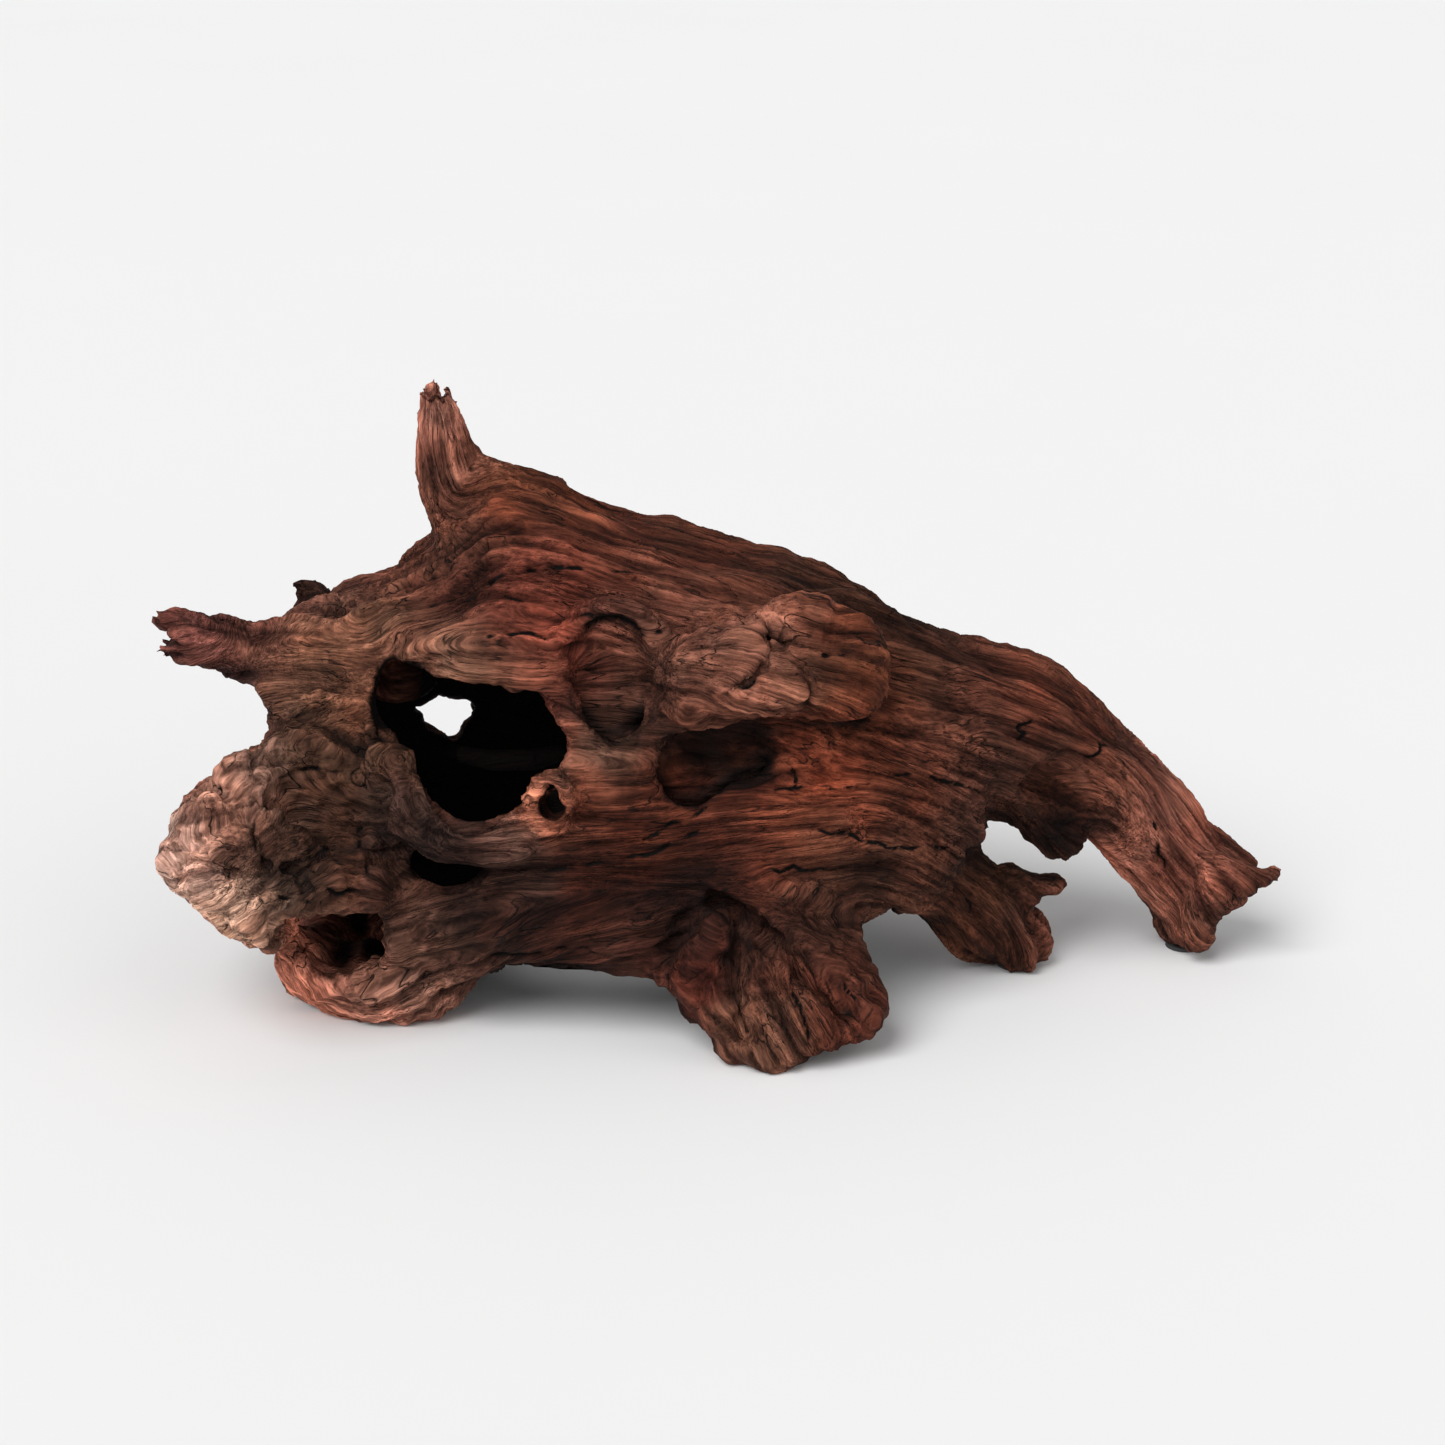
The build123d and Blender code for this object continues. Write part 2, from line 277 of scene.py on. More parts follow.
# ---- the way the grain runs ----
def strand_table():
    """Lines that the fibres follow, each from the left, or from a tip, to the right."""
    over_the_mouth = [left_stub(0, 0.5, 0.75), trunk(0.10, 0.55, 0.68), trunk(0.22, 0.45, 0.78),
                      trunk(0.38, 0.42, 0.84), trunk(0.60, 0.42, 0.74), trunk(0.86, 0.55, 0.58),
                      leg(0.40, 0.45, 0.66), leg(0.65, 0.55, 0.40), leg(0.90, 0.6, 0.12)]
    ridge = [stub(0.3, 0.5, 1.0), stub(0.5, 0.5, 0.35), trunk(0.36, 0.95, 0.97),
             trunk(0.52, 0.95, 0.88), trunk(0.75, 0.95, 0.76), leg(0.2, 0.6, 0.9)]
    over_the_brow = [trunk(0.10, 0.5, 0.60), trunk(0.25, 0.2, 0.68), trunk(0.42, 0.15, 0.68),
                     trunk(0.58, 0.12, 0.70), trunk(0.74, 0.15, 0.64), trunk(0.90, 0.4, 0.5)]
    beam = [trunk(0.02, 0.35, 0.30), trunk(0.20, 0.08, 0.34), trunk(0.36, 0.06, 0.38),
            trunk(0.52, 0.06, 0.38), trunk(0.70, 0.08, 0.40), trunk(0.88, 0.3, 0.34),
            fork(0.6, 0.4, 0.6), fork(0.75, 0.5, 0.0)]
    lower_wall = [left_foot(0, 0.3, 0.6), left_foot(0.4, 0.2, 0.05), left_foot(0.95, 0.1, 0.5),
                  trunk(0.45, 0.02, 0.16), trunk(0.66, 0.08, 0.22), trunk(0.86, 0.3, 0.22),
                  fork(0.5, 0.3, 0.4)]
    front_foot = [trunk(0.25, 0.04, 0.20), trunk(0.42, 0.02, 0.27), foot(0.30, 0.25, 0.90),
                  foot(0.52, 0.1, 0.5), foot(0.75, 0.05, 0.0)]
    round_the_burl = [burl(0.0, 0.4, 0.3), burl(0.3, 0.1, 0.45), burl(0.6, 0.05, 0.75),
                      burl(0.95, 0.3, 1.0), trunk(0.25, 0.2, 0.58), trunk(0.40, 0.15, 0.56)]
    round_the_mouth = [left_stub(0.5, 0.5, 0.6), trunk(0.06, 0.5, 0.75), rim(0.0, 0.3, 1.1),
                       rim(0.15, 0.0, 0.6), rim(0.4, 0.0, 0.1), rim(0.8, 0.1, 0.0),
                       trunk(0.45, 0.05, 0.3)]
    back_high = [rear(0.0, 0.4, 0.62), rear(0.25, 0.85, 0.68), rear(0.55, 0.9, 0.62),
                 rear(0.85, 0.6, 0.5), leg(0.45, 0.9, 0.55), leg(0.9, 0.9, 0.1)]
    back_low = [rear(0.05, 0.5, 0.25), rear(0.25, 0.95, 0.25), rear(0.45, 0.95, 0.22),
                rear(0.8, 0.7, 0.25)]
    behind_the_foot = [rear(0.05, 0.9, 0.33), rear(0.20, 0.95, 0.34), rear_foot(0.4, 0.4, 0.9),
                       rear_foot(0.5, 0.8, 0.4), rear_foot(0.5, 0.9, 0.0)]
    return [over_the_mouth, ridge, over_the_brow, beam, lower_wall, front_foot, round_the_burl,
            round_the_mouth, back_high, back_low, behind_the_foot]


def smooth_line(points, count=8):
    """Extra points along a line, on a Catmull-Rom curve."""
    points = np.array(points)
    padded = np.vstack((2 * points[0] - points[1], points, 2 * points[-1] - points[-2]))
    out = []
    for a, b, c, d in zip(padded[:-3], padded[1:-2], padded[2:-1], padded[3:]):
        for t in np.linspace(0, 1, count, endpoint=False):
            out.append(0.5 * (2 * b + (c - a) * t + (2 * a - 5 * b + 4 * c - d) * t ** 2
                              + (3 * b - a - 3 * c + d) * t ** 3))
    out.append(points[-1])
    return np.array(out)


RUN_ON = 90.0              # strands run on this far past both ends, so no end shows in the grain
MINGLE = 60.0              # a larger value lets neighbouring strands mix more


def run_on(line, length=RUN_ON):
    """Lengthen a line straight on at both ends."""
    before = line[0] - line[1]
    after = line[-1] - line[-2]
    first = line[0] + before / np.linalg.norm(before) * length
    last = line[-1] + after / np.linalg.norm(after) * length
    return np.vstack((first, line, last))


STRANDS = [run_on(smooth_line(points)) for points in strand_table()]


def square_to(ahead):
    """Two directions square to a line: sideways along the front, and out of it."""
    side = np.cross(ahead, (0, 1, 0))
    side /= np.linalg.norm(side)
    return side, np.cross(side, ahead)


def along_strand(places, line):
    """Where places lie beside a strand: (along, across, out) and the distance."""
    axes = line[1:] - line[:-1]
    lengths = np.linalg.norm(axes, axis=1)
    starts = np.concatenate(([0], np.cumsum(lengths)[:-1]))
    best = np.full(len(places), 1e9, np.float32)
    where = np.zeros((len(places), 3), np.float32)
    for a, axis, length, start in zip(line[:-1], axes, lengths, starts):
        ahead = axis / length
        side, out = square_to(ahead)
        offset = places - a
        run = offset @ ahead
        held = np.clip(run, 0, length)
        gap = np.sqrt(np.maximum((offset ** 2).sum(1) - run ** 2, 0) + (run - held) ** 2)
        near = gap < best
        best[near] = gap[near]
        where[near, 0] = (start + run)[near]
        where[near, 1] = (offset @ side)[near]
        where[near, 2] = (offset @ out)[near]
    return where, best


def grain_of(places):
    """Grain coordinates: the first runs along the fibres, the others across them."""
    total = np.zeros((len(places), 3), np.float32)
    weights = np.zeros(len(places), np.float32)
    for line in STRANDS:
        where, gap = along_strand(places, line)
        middle = line[len(line) // 2]
        squeeze = np.sqrt(28.0 / (gap + 6.0))
        where[:, 1] *= squeeze
        where[:, 2] *= squeeze
        shift = np.array((line[1][0] - RUN_ON, middle[2] * 0.8, middle[1] * 0.8), np.float32)
        weight = 1.0 / (gap ** 2 + MINGLE) ** 2
        total += weight[:, None] * (where + shift)
        weights += weight
    return total / weights[:, None]


# ---- fibres that flow over the surface ----
FLOW_CELL = 5.0            # the flow is worked out on this coarse grid, then read between its cells
COARSE_SPECK = 5.0
FINE_SPECK = 1.7
TILE = rng.random((64, 64, 64)).astype(np.float32)


def read_grid(volume, spots):
    """Read a volume, of numbers or of vectors, between its cells."""
    spots = np.clip(spots, 0, np.array(volume.shape[:3]) - 1.001)
    first = spots.astype(np.int32)
    part = (spots - first).astype(np.float32)
    i, j, k = first.T
    x, y, z = part.T
    total = 0.0
    for di, wx in ((0, 1 - x), (1, x)):
        for dj, wy in ((0, 1 - y), (1, y)):
            for dk, wz in ((0, 1 - z), (1, z)):
                weight = wx * wy * wz
                corner = volume[i + di, j + dj, k + dk]
                total = total + (corner * weight[:, None] if volume.ndim == 4 else corner * weight)
    return total


def strand_direction(places):
    """The blended direction of the strands near each place."""
    total = np.zeros((len(places), 3), np.float32)
    for line in STRANDS:
        ahead = np.gradient(line, axis=0)
        ahead /= np.linalg.norm(ahead, axis=1, keepdims=True)
        gaps = (places ** 2).sum(1)[:, None] + (line ** 2).sum(1)[None, :] - 2 * places @ line.T
        nearest = gaps.argmin(1)
        gap = gaps[np.arange(len(places)), nearest]
        total += ahead[nearest] / (gap[:, None] + MINGLE) ** 2
    return total


def flow_field(body):
    """Fibre directions laid into the surface, on every second voxel."""
    shape = [int(n * VOXEL / FLOW_CELL) + 2 for n in SHAPE]
    cells = np.stack(np.meshgrid(*[np.arange(n) for n in shape], indexing="ij"), -1).reshape(-1, 3)
    coarse = strand_direction(ORIGIN + cells * FLOW_CELL).reshape(*shape, 3)
    coarse /= np.linalg.norm(coarse, axis=-1, keepdims=True) + 1e-12
    thin = body[::2, ::2, ::2]
    normals = np.stack(np.gradient(thin), -1)
    normals /= np.linalg.norm(normals, axis=-1, keepdims=True) + 1e-6
    spots = np.stack(np.meshgrid(*[np.arange(n) for n in thin.shape], indexing="ij"), -1)
    flow = read_grid(coarse, spots.reshape(-1, 3) * (2 * VOXEL / FLOW_CELL)).reshape(*thin.shape, 3)
    flow -= (flow * normals).sum(-1, keepdims=True) * normals
    return (flow / (np.linalg.norm(flow, axis=-1, keepdims=True) + 1e-6)).astype(np.float32)


def specks(places, cell):
    """Random values, one for each cell, read smoothly between them."""
    return read_grid(TILE, np.mod(places / cell, len(TILE) - 1.0))


def brushed(places, flow, step=1.7, count=12):
    """Random specks smeared along the fibres: a coarse and a fine layer, each about -2 to 2."""
    coarse = np.zeros(len(places), np.float32)
    fine = np.zeros(len(places), np.float32)
    for way in (1, -1):
        at = places.astype(np.float32).copy()
        for turn in range(count):
            weight = 0.5 + 0.5 * math.cos(math.pi * turn / count)
            coarse += weight * specks(at, COARSE_SPECK)
            fine += weight * specks(at + 31.0, FINE_SPECK)
            at = at + way * step * read_grid(flow, (at - ORIGIN) / (2 * VOXEL))
    coarse = (coarse - coarse.mean()) / (coarse.std() + 1e-6)
    fine = (fine - fine.mean()) / (fine.std() + 1e-6)
    return coarse, fine


# ---- carving ----
def sample(field, places):
    """Read the distance field between its voxels."""
    return read_grid(field, (places - ORIGIN) / VOXEL)


def surface_spot(field, across, up, sink=0.0, behind=False):
    """Where the front (or back) surface lies, at shares of the ornament's width and height."""
    depths = np.arange(LOW[1] - 5, HIGH[1] + 5, 0.5)
    if behind:
        depths = depths[::-1]
        sink = -sink
    places = np.zeros((len(depths), 3))
    places[:, 0] = LOW[0] + across * (HIGH[0] - LOW[0])
    places[:, 1] = depths
    places[:, 2] = up * HIGH[2]
    inside = sample(field, places) < 0
    found = places[inside.argmax()] if inside.any() else places[len(places) // 2]
    return found + (0, sink, 0)


def line_on(field, shares, sink=0.0, behind=False):
    """Points on the surface; one that falls through an opening takes its neighbours' depth."""
    points = np.array([surface_spot(field, across, up, sink, behind) for across, up in shares])
    middle = np.median(points[:, 1])
    strays = np.abs(points[:, 1] - middle) > STRAY
    points[strays, 1] = middle
    return points


def shape_mouth(field):
    """The uneven edge of the cave mouth, the rolled brow over it and the ring at its right."""
    low, high = OPENING["cave_mouth"]
    middle = (low + high) / 2
    roll = line_on(field, [(0.190, 0.640), (0.237, 0.632), (0.285, 0.628), (0.335, 0.606),
                           (0.372, 0.560), (0.388, 0.500)], 4.0)
    add_chain(field, roll, [6, 7, 7, 7, 6, 4], 6)
    for across, up, wide, tall in ((-29, 13, 8, 13), (-22, 18, 8, 6), (-9, 15, 9, 7), (6, 15, 8, 7),
                                   (20, 9, 9, 11), (24, -2, 6, 12), (2, -10, 18, 12)):
        carve_lump(field, middle + (across, 0, up), (wide, 42, tall), 2.5)
    lip = line_on(field, [(0.255, 0.385), (0.290, 0.372), (0.325, 0.375), (0.352, 0.385)], 2.0)
    add_chain(field, lip, [3.5, 4, 4, 3], 3)
    ring_middle = (BOX["mouth_knot"][0] + BOX["mouth_knot"][1]) / 2 + (0, -3, 1)
    ring = []
    for turn in np.linspace(0, math.tau, 15):
        ring.append(ring_middle + (6.4 * math.cos(turn), -1.5 * math.cos(turn), 9.2 * math.sin(turn)))
    add_chain(field, ring, [2.6 + 0.7 * math.sin(3 * n) for n in range(len(ring))], 2.0)
    carve_lump(field, ring_middle + (0, -1, 0), (4.0, 9, 6.5), 1.2)


def shape_brow(field):
    """The oval hollow beside the mouth, the lumpy brow, its pits and the dark overhang below it."""
    hollow = surface_spot(field, 0.402, 0.600)
    edge = []
    for turn in np.linspace(-0.4, 3.6, 12):
        edge.append(hollow + (18 * math.cos(turn), 3, 22 * math.sin(turn)))
    add_chain(field, edge, [3] * len(edge), 8)
    sink_hollow(field, hollow + (0, -2, -3), (13, 8, 19), 1, 9)
    for across, up, wide, tall in ((0.560, 0.685, 12, 9), (0.605, 0.640, 11, 11), (0.500, 0.640, 12, 9),
                                   (0.530, 0.600, 16, 8), (0.592, 0.580, 13, 8), (0.468, 0.600, 8, 14)):
        add_lump(field, surface_spot(field, across, up, 6.5), (wide, 9, tall), 6)
    carve_chain(field, line_on(field, [(0.556, 0.640), (0.570, 0.615), (0.566, 0.580)], 0.5), [2, 2.4, 1.5])
    carve_chain(field, line_on(field, [(0.505, 0.610), (0.532, 0.640), (0.548, 0.690)], 0.5), [1.5, 2, 1.5])
    tail = line_on(field, [(0.600, 0.635), (0.640, 0.610), (0.675, 0.575), (0.705, 0.540)], 5.0)
    add_chain(field, tail, [9, 9, 7, 4], 9)
    star = surface_spot(field, 0.535, 0.672)
    carve_lump(field, star, (2.6, 7, 5.5), 1.5)
    carve_lump(field, star + (2, 0, -1), (6, 6, 2.2), 1.5)
    under = line_on(field, [(0.466, 0.470), (0.480, 0.490), (0.510, 0.520), (0.550, 0.535),
                            (0.592, 0.532), (0.618, 0.520)], 1.5)
    carve_chain(field, under, [6, 7, 5.5, 4.5, 3.5, 2], 2.5)
    recess = surface_spot(field, 0.486, 0.462)
    sink_hollow(field, recess, (18, 11, 8), 1, 8)
    sink_hollow(field, recess + (-7, 0, -6), (9, 9, 11), 1, 8)
    carve_chain(field, [recess + (14, 0, 2), recess + (28, -6, 4)], [6, 2], 6)
    ledge = line_on(field, [(0.510, 0.468), (0.555, 0.486), (0.610, 0.482), (0.680, 0.452)], 2.5)
    add_chain(field, ledge, [3, 4, 4, 3], 5)


def shape_front_foot(field):
    """The arch over the front foot, its grooves and its raised heel."""
    hood = line_on(field, [(0.425, 0.235), (0.440, 0.266), (0.460, 0.286), (0.503, 0.290), (0.545, 0.262),
                           (0.580, 0.240)], 1.5)
    add_chain(field, hood, [2.5, 4, 4.5, 5, 4.5, 3], 4)
    strut = line_on(field, [(0.492, 0.215), (0.480, 0.160), (0.468, 0.110)], 1.0)
    add_chain(field, strut, [4, 5, 4.5], 4)
    toe = line_on(field, [(0.560, 0.210), (0.590, 0.150), (0.622, 0.070)], 2.0)
    add_chain(field, toe, [4, 5, 5], 4)
    groove = line_on(field, [(0.490, 0.255), (0.528, 0.214), (0.562, 0.156), (0.600, 0.080)], 1.5)
    carve_chain(field, groove, [4.5, 5.5, 4.5, 3.0], 1.5)
    carve_chain(field, line_on(field, [(0.506, 0.240), (0.510, 0.150), (0.512, 0.060)]), [3.6, 4.6, 3.4], 3)
    carve_chain(field, line_on(field, [(0.470, 0.235), (0.452, 0.180)]), [3.5, 4.0], 4)
    heel = BOX["front_foot_root"][0]
    carve_lump(field, heel + (3, 8, -1), (16, 26, 15), 4)


def shape_burl(field):
    """The broken, grown-over burl at the left: a rimmed disc above, torn lumps below."""
    middle = surface_spot(field, 0.166, 0.430, 2)
    edge = []
    for turn in np.linspace(-0.7, 4.0, 12):
        shares = (0.166 + 0.060 * math.cos(turn), 0.430 + 0.100 * math.sin(turn))
        edge.append(surface_spot(field, *shares, 0.5))
    add_chain(field, edge, [3.6 + 0.9 * math.sin(2.3 * n) for n in range(len(edge))], 2)
    carve_lump(field, middle + (0, -6, 0), (23, 10, 20), 2)
    for across, up, wide, tall in ((0.060, 0.375, 12, 10), (0.036, 0.325, 8, 7), (0.075, 0.300, 10, 8),
                                   (0.108, 0.272, 12, 8), (0.128, 0.330, 9, 9), (0.150, 0.300, 11, 7),
                                   (0.190, 0.275, 9, 8), (0.085, 0.430, 9, 11)):
        add_lump(field, surface_spot(field, across, up, 3), (wide, 8, tall), 3.5)
    for groove in ([(0.100, 0.460), (0.098, 0.400), (0.112, 0.345), (0.108, 0.300)],
                   [(0.112, 0.345), (0.140, 0.335), (0.175, 0.350), (0.205, 0.330)],
                   [(0.050, 0.345), (0.075, 0.340), (0.095, 0.325)],
                   [(0.140, 0.330), (0.150, 0.290), (0.140, 0.265)]):
        carve_chain(field, line_on(field, groove), [1.6, 2.4, 2.2, 1.6], 2)


def shape_left_foot(field):
    """The hole under the burl, opened out towards the front and above, and the foot's lip."""
    low, high = OPENING["left_foot_hole"]
    middle = (low + high) / 2
    for across in (-12, -3, 6):
        start = middle + (across, -60, 22)
        carve_chain(field, [start, middle + (across, -12, 7), middle + (across, 22, 6)], [12, 10, 6], 4)
    lip = line_on(field, [(0.228, 0.050), (0.255, 0.085), (0.285, 0.140)], 5.0)
    add_chain(field, lip, [8, 8, 7], 6)


def shape_window(field):
    """The ragged edge of the small rear window."""
    low, high = OPENING["rear_window"]
    middle = (low + high) / 2
    for across, up, wide, tall in ((-7, 5, 5, 3), (6, 3, 4, 4), (2, -7, 3, 4), (-3, 7, 3, 4)):
        carve_lump(field, middle + (across, 0, up), (wide, 24, tall), 1.5)


def shape_back(field):
    """Ridges, knots and hollows on the side away from the cave mouth."""
    for shares, radii in (([(0.16, 0.62), (0.28, 0.66), (0.42, 0.60), (0.55, 0.62)], [5, 7, 7, 4]),
                          ([(0.30, 0.45), (0.42, 0.40), (0.55, 0.42), (0.68, 0.36)], [5, 7, 6, 4]),
                          ([(0.14, 0.40), (0.20, 0.25), (0.24, 0.10)], [5, 7, 6]),
                          ([(0.48, 0.30), (0.56, 0.20), (0.62, 0.10)], [5, 6, 5]),
                          ([(0.36, 0.30), (0.33, 0.15), (0.35, 0.03)], [6, 7, 6])):
        add_chain(field, line_on(field, shares, 2.0, True), radii, 7)
    for across, up, wide, tall in ((0.36, 0.52, 14, 9), (0.50, 0.50, 12, 8), (0.62, 0.48, 14, 7),
                                   (0.42, 0.22, 10, 14), (0.20, 0.48, 9, 9)):
        sink_hollow(field, surface_spot(field, across, up, 0, True), (wide, 7, tall), -1, 5)
    knot = surface_spot(field, 0.46, 0.58, 2, True)
    add_lump(field, knot, (13, 9, 12), 5)
    carve_lump(field, knot + (0, 8, 0), (5, 7, 5), 2)


def shape_limbs(field):
    """The broken limbs: the two stubs, the twig and the leg's flared end; and the soles."""
    flare = [stub(0.42, 0.5, 0.80), stub(0.55, 0.5, 0.62), stub(0.78, 0.48, 0.44), stub(1.15, 0.45, 0.30)]
    add_chain(field, flare, [4, 6, 8, 9], 5)
    core = [stub(0.30, 0.5, 0.90), stub(0.34, 0.5, 0.60), stub(0.50, 0.5, 0.20)]
    add_chain(field, core, [6, 7.2, 7.5], 3)
    add_chain(field, [twig(0.50, 0.5, 0.6), twig(0.18, 0.5, 0.95)], [6, 2.2], 3)
    branch = [left_stub(1.0, 0.5, 0.57), left_stub(0.56, 0.5, 0.66), left_stub(0.08, 0.5, 0.74)]
    add_chain(field, branch, [9.5, 9, 8.6], 3)
    add_chain(field, [leg(0.84, 0.5, 0.27), leg(0.92, 0.5, 0.26), leg(0.985, 0.5, 0.275)], [9, 6.5, 3], 6)
    add_chain(field, [leg(0.80, 0.5, 0.20), leg(0.760, 0.5, 0.05)], [8, 4], 5)
    sink_hollow(field, surface_spot(field, 0.797, 0.350), (15, 9, 12), 1, 4)
    carve_lump(field, trunk(0.0, 0.6, 0.49) + (-6, 0, 0), (10, 44, 10), 6)
    for corner_low, corner_high in pad_boxes():
        pad = (corner_low + corner_high) / 2
        add_lump(field, pad + (0, 0, 8), (11, 11, 9), 6)


def shape_skirt(field):
    """Thicker resin inside the low edges, behind the holes through the foot and under the mouth."""
    loop = [left_foot(0.14, 0.8, 0.25), left_foot(0.16, 1.5, 0.25), left_foot(0.42, 1.65, 0.25),
            left_foot(0.66, 1.5, 0.30), left_foot(0.80, 0.8, 0.40), left_foot(0.84, 0.4, 0.50)]
    add_chain(field, loop, [8.5, 9, 9.5, 9, 8, 8], 6)
    hem = [rear(x, y, 0.045) for x, y in ((0.10, 0.46), (0.18, 0.66), (0.26, 0.70), (0.34, 0.72))]
    add_chain(field, hem, [8, 9, 9, 8], 5)


def pad_boxes():
    """The box of each pad, from the loose parts of the pads' mesh."""
    points, _ = triangles_of(frame["nodes"]["foot_pads"])
    boxes = []
    left = points
    while len(left):
        near = np.linalg.norm(left[:, :2] - left[0, :2], axis=1) < 20
        boxes.append((left[near].min(0), left[near].max(0)))
        left = left[~near]
    return boxes


def splinter(field, axis_from, axis_to, deep):
    """Break off the end of a limb along its fibres, leaving uneven splinters."""
    ahead = (axis_to - axis_from) / np.linalg.norm(axis_to - axis_from)
    side, out = square_to(ahead)
    reach = deep + 26
    cut, places = window_of(axis_to - reach, axis_to + reach)
    shape = places.shape[:-1]
    offset = (places - axis_to).reshape(-1, 3)
    run = (offset @ ahead).reshape(shape)
    cross = np.stack((offset @ side, offset @ out, offset @ ahead * 0.02), 1)
    spikes = 0.45 - 2.0 * np.abs(noise(cross / 5.5 + 31.0)) - 0.8 * np.abs(noise(cross / 2.4 + 7.0))
    limit = deep * spikes.reshape(shape)
    near = (np.abs(cross[:, :2]).max(1) < 24).reshape(shape)
    ends = np.where(near & (run > -deep), run - limit, -BAND)
    field[cut] = np.maximum(field[cut], ends)


def break_ends(field):
    """The broken ends of both stubs, with the left one's notch, and of the leg."""
    splinter(field, stub(0.55, 0.5, 0.3), stub(0.28, 0.5, 0.93), 20)
    splinter(field, left_stub(0.8, 0.5, 0.68), left_stub(0.03, 0.5, 0.74), 10)
    carve_lump(field, left_stub(-0.04, 0.5, 0.76), (11, 40, 3.4), 1)
    splinter(field, leg(0.5, 0.5, 0.5), leg(0.97, 0.5, 0.20), 7)


def softness(name):
    """How softly a limb runs into the trunk."""
    if name == "brow_burl":
        return 14.0
    return 4.0 if name in FINE_PIECES else BLEND


def build_fields():
    own = {name: node_field(name) for name in CASTINGS}
    body = trunk_field()
    for name in CASTINGS:
        if not name.endswith("_shell"):
            body = smooth_min(body, own[name], softness(name))
    for name in DOWELS:
        body = smooth_min(body, node_field(name) - DOWEL_COVER, 4.0)
    return own, body


def blurred(field, passes=6):
    """Round the creases between the trunk's flat-sided sections."""
    for _ in range(passes):
        for axis in range(3):
            field = (np.roll(field, 1, axis) + 2 * field + np.roll(field, -1, axis)) * 0.25
    return field


def outward(field, places, step=1.4):
    """The direction out of the resin."""
    slopes = []
    for axis in range(3):
        shift = np.zeros(3, np.float32)
        shift[axis] = step
        slopes.append(sample(field, places + shift) - sample(field, places - shift))
    slope = np.stack(slopes, 1)
    return slope / (np.linalg.norm(slope, axis=1, keepdims=True) + 1e-6)


# ---- surface relief ----
# Each crack is a line on the front, by shares of the ornament's width and height.
CRACKS = [
    [(0.344, 0.300), (0.403, 0.317), (0.440, 0.332), (0.464, 0.354), (0.480, 0.365)],
    [(0.426, 0.345), (0.452, 0.368), (0.480, 0.393)],
    [(0.540, 0.416), (0.560, 0.418), (0.590, 0.410), (0.622, 0.405)],
    [(0.556, 0.450), (0.560, 0.434), (0.558, 0.418)],
    [(0.579, 0.350), (0.605, 0.338), (0.633, 0.314), (0.665, 0.306), (0.701, 0.288)],
    [(0.514, 0.303), (0.550, 0.298), (0.599, 0.286)],
    [(0.816, 0.401), (0.827, 0.402), (0.832, 0.414), (0.842, 0.412), (0.856, 0.382)],
    [(0.880, 0.290), (0.887, 0.262), (0.894, 0.205), (0.902, 0.168)],
    [(0.290, 0.648), (0.324, 0.661), (0.358, 0.648)],
    [(0.310, 0.710), (0.380, 0.690), (0.440, 0.660), (0.490, 0.650)],
    [(0.240, 0.680), (0.300, 0.740), (0.360, 0.745), (0.430, 0.720)],
    [(0.640, 0.420), (0.680, 0.405), (0.725, 0.370)],
    [(0.120, 0.440), (0.150, 0.455), (0.185, 0.440), (0.210, 0.400)],
    [(0.130, 0.350), (0.160, 0.345), (0.185, 0.365), (0.205, 0.345)],
    [(0.150, 0.330), (0.165, 0.300), (0.185, 0.290)],
    [(0.120, 0.300), (0.145, 0.285), (0.180, 0.262)],
    [(0.185, 0.365), (0.190, 0.320), (0.200, 0.290)],
    [(0.060, 0.350), (0.080, 0.330), (0.085, 0.290)],
    [(0.540, 0.190), (0.560, 0.120), (0.570, 0.060)],
    [(0.590, 0.200), (0.600, 0.140), (0.615, 0.100)],
    [(0.250, 0.120), (0.300, 0.150), (0.360, 0.170), (0.420, 0.160)],
    [(0.770, 0.470), (0.757, 0.462), (0.765, 0.450), (0.750, 0.444)],
    [(0.560, 0.630), (0.580, 0.650), (0.600, 0.640)],
    [(0.500, 0.600), (0.520, 0.615), (0.530, 0.640)],
    [(0.950, 0.150), (0.962, 0.130), (0.957, 0.100), (0.968, 0.085)],
    [(0.700, 0.200), (0.720, 0.150), (0.730, 0.090)],
]


def crack_lines(field):
    lines = []
    for index, shares in enumerate(CRACKS):
        line = smooth_line(line_on(field, shares), 6)
        bend = np.stack([noise(line / 7 + 40 * axis + index) for axis in range(3)], 1)
        lines.append(line + bend * 3.0)
    return lines


def gap_to_cracks(places, lines):
    """Distance to the nearest crack's edge; cracks taper to nothing at both ends."""
    best = np.full(len(places), 20.0, np.float32)
    for line in lines:
        low, high = line.min(0) - 6, line.max(0) + 6
        near = np.flatnonzero(((places > low) & (places < high)).all(1))
        if not len(near):
            continue
        taper = np.sin(np.linspace(0.06, 0.94, len(line)) * math.pi) ** 0.6
        best[near] = np.minimum(best[near], chain(places[near], line, 0.10 + 0.45 * taper))
    return best


def chunkiness(places):
    """1 on the burl, the brow and the feet, whose bark is torn rather than fibrous."""
    total = np.zeros(len(places), np.float32)
    reaches = {"burl_knot": 34, "brow_burl": 24, "left_foot_root": 34, "front_foot_root": 26}
    for name, reach in reaches.items():
        low, high = BOX[name]
        offset = (places - (low + high) / 2) / (high - low + reach) * 2
        total = np.maximum(total, np.clip(2.2 - 2.2 * np.sqrt((offset ** 2).sum(1)), 0, 1))
    return total


def ridged(places):
    return 1 - np.abs(noise(places)) * 3.5


